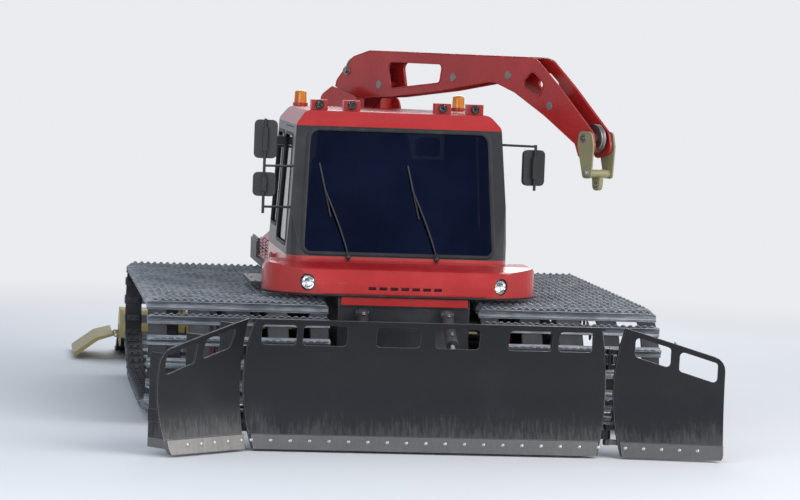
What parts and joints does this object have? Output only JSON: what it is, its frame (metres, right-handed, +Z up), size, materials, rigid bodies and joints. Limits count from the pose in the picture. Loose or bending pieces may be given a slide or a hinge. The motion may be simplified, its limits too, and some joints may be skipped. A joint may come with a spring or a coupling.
{
  "type": "snow groomer with winch boom",
  "caption": "Tracked snow groomer with a hollow cab, a slewing winch boom over the roof, a front blade with folding wings and a rear tiller.",
  "frame": {"origin": "on the ground, below the middle of the machine's outline seen from above", "axes": "+Z up, -Y forward along the direction of travel, +X to the machine's left"},
  "size_m": [5.06, 8.4914, 3.07],
  "materials": {
    "red_paint": "gloss",
    "yellow_paint": "satin",
    "olive_paint": "satin",
    "black_steel": "satin",
    "grey_steel": "satin",
    "steel": "brushed",
    "chrome_rod": "polished",
    "track": "worn",
    "tyre_rubber": "matt",
    "black_plastic": "matt",
    "seat_cloth": "matt",
    "tinted_glass": "polished",
    "lamp_glass": "polished",
    "lamp_body": "gloss"
  },
  "bodies": {
    "hull": {"chassis": "black_steel", "deck": "grey_steel", "nose": "red_paint", "engine_housing": "red_paint", "engine_block": "grey_steel", "exhaust": "steel", "platforms": "grey_steel", "headlamps": "lamp_glass", "cab_shell": "red_paint", "cab_glass": "tinted_glass", "seats": "seat_cloth", "console": "black_plastic", "roof_lamps": "lamp_body", "mirrors": "black_plastic", "axles": "black_steel", "rims": "red_paint", "tyres": "tyre_rubber", "sprockets": "black_plastic", "track_left": "track", "track_right": "track"},
    "door_left": {"door_left": "red_paint", "door_left_glass": "tinted_glass"},
    "door_right": {"door_right": "red_paint", "door_right_glass": "tinted_glass"},
    "push_frame": {"push_frame": "black_steel"},
    "lift_barrels": {"lift_barrels": "black_steel"},
    "lift_rods": {"lift_rods": "chrome_rod"},
    "swing_head": {"swing_head": "black_steel"},
    "swing_barrel_left": {"swing_barrel_left": "black_steel"},
    "swing_rod_left": {"swing_rod_left": "chrome_rod"},
    "swing_barrel_right": {"swing_barrel_right": "black_steel"},
    "swing_rod_right": {"swing_rod_right": "chrome_rod"},
    "tilt_barrel": {"tilt_barrel": "black_steel"},
    "tilt_rod": {"tilt_rod": "chrome_rod"},
    "blade": {"blade": "black_steel"},
    "wing_left": {"wing_left": "black_steel"},
    "wing_right": {"wing_right": "black_steel"},
    "wing_barrel_left": {"wing_barrel_left": "black_steel"},
    "wing_rod_left": {"wing_rod_left": "chrome_rod"},
    "wing_barrel_right": {"wing_barrel_right": "black_steel"},
    "wing_rod_right": {"wing_rod_right": "chrome_rod"},
    "winch": {"turntable": "red_paint", "boom": "red_paint"},
    "drum": {"drum": "grey_steel"},
    "top_sheave": {"top_sheave": "grey_steel"},
    "head_sheave": {"head_sheave": "grey_steel"},
    "rope_head": {"rope_head": "olive_paint"},
    "tiller": {"tiller_frame": "black_steel", "hood": "yellow_paint", "comb": "black_plastic"},
    "hoist_barrels": {"hoist_barrels": "black_steel"},
    "hoist_rods": {"hoist_rods": "chrome_rod"},
    "rotor": {"rotor": "grey_steel"},
    "flap_left": {"flap_left": "yellow_paint"},
    "flap_right": {"flap_right": "yellow_paint"}
  },
  "joints": [
    {"name": "left_door", "type": "hinge", "parent": "hull", "child": "door_left", "pos_m": [0.956, -0.304, 1.8], "axis": [0, 0, 1], "range_deg": [0, 75]},
    {"name": "right_door", "type": "hinge", "parent": "hull", "child": "door_right", "pos_m": [-0.956, -0.304, 1.8], "axis": [0, 0, -1], "range_deg": [0, 75]},
    {"name": "blade_lift", "type": "hinge", "parent": "hull", "child": "push_frame", "pos_m": [0, -1.97, 0.455], "axis": [-1, 0, 0], "range_deg": [-8, 24]},
    {"name": "blade_lift_barrel_pivot", "type": "hinge", "parent": "hull", "child": "lift_barrels", "pos_m": [0, -2.102, 0.95], "axis": [-1, 0, 0], "range_deg": [-7.25, 21.34]},
    {"name": "blade_lift_rod_slide", "type": "slide", "parent": "lift_barrels", "child": "lift_rods", "axis": [0, -0.863, -0.5051], "range_m": [-0.21281, 0.07227]},
    {"name": "blade_swing", "type": "hinge", "parent": "push_frame", "child": "swing_head", "pos_m": [0, -3.17, 0.47], "axis": [0, 0, 1], "range_deg": [-18, 18]},
    {"name": "swing_left_barrel_pivot", "type": "hinge", "parent": "push_frame", "child": "swing_barrel_left", "pos_m": [0.505, -2.61, 0.47], "axis": [0, 0, 1], "range_deg": [-0.53, 0.53]},
    {"name": "swing_left_rod_slide", "type": "slide", "parent": "swing_barrel_left", "child": "swing_rod_left", "axis": [-0.3677, -0.93, 0], "range_m": [-0.08324, 0.08324]},
    {"name": "swing_right_barrel_pivot", "type": "hinge", "parent": "push_frame", "child": "swing_barrel_right", "pos_m": [-0.505, -2.61, 0.47], "axis": [0, 0, 1], "range_deg": [-0.53, 0.53]},
    {"name": "swing_right_rod_slide", "type": "slide", "parent": "swing_barrel_right", "child": "swing_rod_right", "axis": [0.3677, -0.93, 0], "range_m": [-0.08324, 0.08324]},
    {"name": "blade_tilt", "type": "hinge", "parent": "swing_head", "child": "blade", "pos_m": [0, -3.37, 0.56], "axis": [0, -1, 0], "range_deg": [-8, 8]},
    {"name": "blade_tilt_barrel_pivot", "type": "hinge", "parent": "swing_head", "child": "tilt_barrel", "pos_m": [-0.33, -3.342, 0.56], "axis": [0, -1, 0], "range_deg": [-10.98, 10.98]},
    {"name": "blade_tilt_rod_slide", "type": "slide", "parent": "tilt_barrel", "child": "tilt_rod", "axis": [-0.3807, 0, 0.9247], "range_m": [-0.04551, 0.04551]},
    {"name": "wing_left", "type": "hinge", "parent": "blade", "child": "wing_left", "pos_m": [1.45, -3.5, 0.5], "axis": [0, 0, -1], "range_deg": [-13, 42]},
    {"name": "wing_left_barrel_pivot", "type": "hinge", "parent": "blade", "child": "wing_barrel_left", "pos_m": [0.69, -3.305, 0.3], "axis": [0, 0, 1], "range_deg": [-6.05, 2.01]},
    {"name": "wing_left_rod_slide", "type": "slide", "parent": "wing_barrel_left", "child": "wing_rod_left", "axis": [0.9998, -0.0194, 0], "range_m": [-0.0362, 0.1125]},
    {"name": "wing_right", "type": "hinge", "parent": "blade", "child": "wing_right", "pos_m": [-1.45, -3.5, 0.5], "axis": [0, 0, 1], "range_deg": [-45, 10]},
    {"name": "wing_right_barrel_pivot", "type": "hinge", "parent": "blade", "child": "wing_barrel_right", "pos_m": [-0.69, -3.305, 0.3], "axis": [0, 0, -1], "range_deg": [-1.61, 6.53]},
    {"name": "wing_right_rod_slide", "type": "slide", "parent": "wing_barrel_right", "child": "wing_rod_right", "axis": [-0.9949, -0.1004, 0], "range_m": [-0.1218, 0.02862]},
    {"name": "winch_slew", "type": "hinge", "parent": "hull", "child": "winch", "pos_m": [0, 1.015, 1.472], "axis": [0, 0, 1], "continuous": true},
    {"name": "winch_drum", "type": "hinge", "parent": "winch", "child": "drum", "pos_m": [-0.01545, 1.04072, 1.882], "axis": [0.8572, 0.515, 0], "continuous": true},
    {"name": "top_sheave", "type": "hinge", "parent": "winch", "child": "top_sheave", "pos_m": [-0.11846, 1.21215, 2.88], "axis": [0.8572, 0.515, 0], "continuous": true},
    {"name": "head_sheave", "type": "hinge", "parent": "winch", "child": "head_sheave", "pos_m": [1.59404, -1.63793, 2.42], "axis": [0.8572, 0.515, 0], "continuous": true},
    {"name": "rope_head", "type": "hinge", "parent": "winch", "child": "rope_head", "pos_m": [1.59404, -1.63793, 2.42], "axis": [0.8572, 0.515, 0], "range_deg": [-30, 30]},
    {"name": "tiller_lift", "type": "hinge", "parent": "hull", "child": "tiller", "pos_m": [0, 2.128, 0.7], "axis": [1, 0, 0], "range_deg": [-6, 35]},
    {"name": "tiller_lift_barrel_pivot", "type": "hinge", "parent": "hull", "child": "hoist_barrels", "pos_m": [0, 2.252, 0.85], "axis": [1, 0, 0], "range_deg": [-7.58, 43.27]},
    {"name": "tiller_lift_rod_slide", "type": "slide", "parent": "hoist_barrels", "child": "hoist_rods", "axis": [0, 0.9585, -0.2851], "range_m": [-0.08595, 0.01639]},
    {"name": "tiller_rotor", "type": "hinge", "parent": "tiller", "child": "rotor", "pos_m": [0, 3.33, 0.262], "axis": [1, 0, 0], "continuous": true},
    {"name": "left_flap", "type": "hinge", "parent": "tiller", "child": "flap_left", "pos_m": [2.13, 3.33, 0.242], "axis": [0, -1, 0], "range_deg": [0, 95]},
    {"name": "right_flap", "type": "hinge", "parent": "tiller", "child": "flap_right", "pos_m": [-2.13, 3.33, 0.242], "axis": [0, 1, 0], "range_deg": [0, 95]}
  ],
  "couplings": [
    {"joint": "blade_lift_barrel_pivot", "follows": "blade_lift", "ratio": 0.88105},
    {"joint": "blade_lift_rod_slide", "follows": "blade_lift", "m_per_rad": -0.50327},
    {"joint": "swing_left_barrel_pivot", "follows": "blade_swing", "ratio": -0.018191},
    {"joint": "swing_left_rod_slide", "follows": "blade_swing", "m_per_rad": -0.25859},
    {"joint": "swing_right_barrel_pivot", "follows": "blade_swing", "ratio": -0.018191},
    {"joint": "swing_right_rod_slide", "follows": "blade_swing", "m_per_rad": 0.25859},
    {"joint": "blade_tilt_barrel_pivot", "follows": "blade_tilt", "ratio": 1.347},
    {"joint": "blade_tilt_rod_slide", "follows": "blade_tilt", "m_per_rad": -0.31158},
    {"joint": "wing_left_barrel_pivot", "follows": "wing_left", "ratio": -0.13924},
    {"joint": "wing_left_rod_slide", "follows": "wing_left", "m_per_rad": 0.15074},
    {"joint": "wing_right_barrel_pivot", "follows": "wing_right", "ratio": -0.14057},
    {"joint": "wing_right_rod_slide", "follows": "wing_right", "m_per_rad": 0.15254},
    {"joint": "tiller_lift_barrel_pivot", "follows": "tiller_lift", "ratio": 1.2306},
    {"joint": "tiller_lift_rod_slide", "follows": "tiller_lift", "m_per_rad": -0.13742}
  ]
}
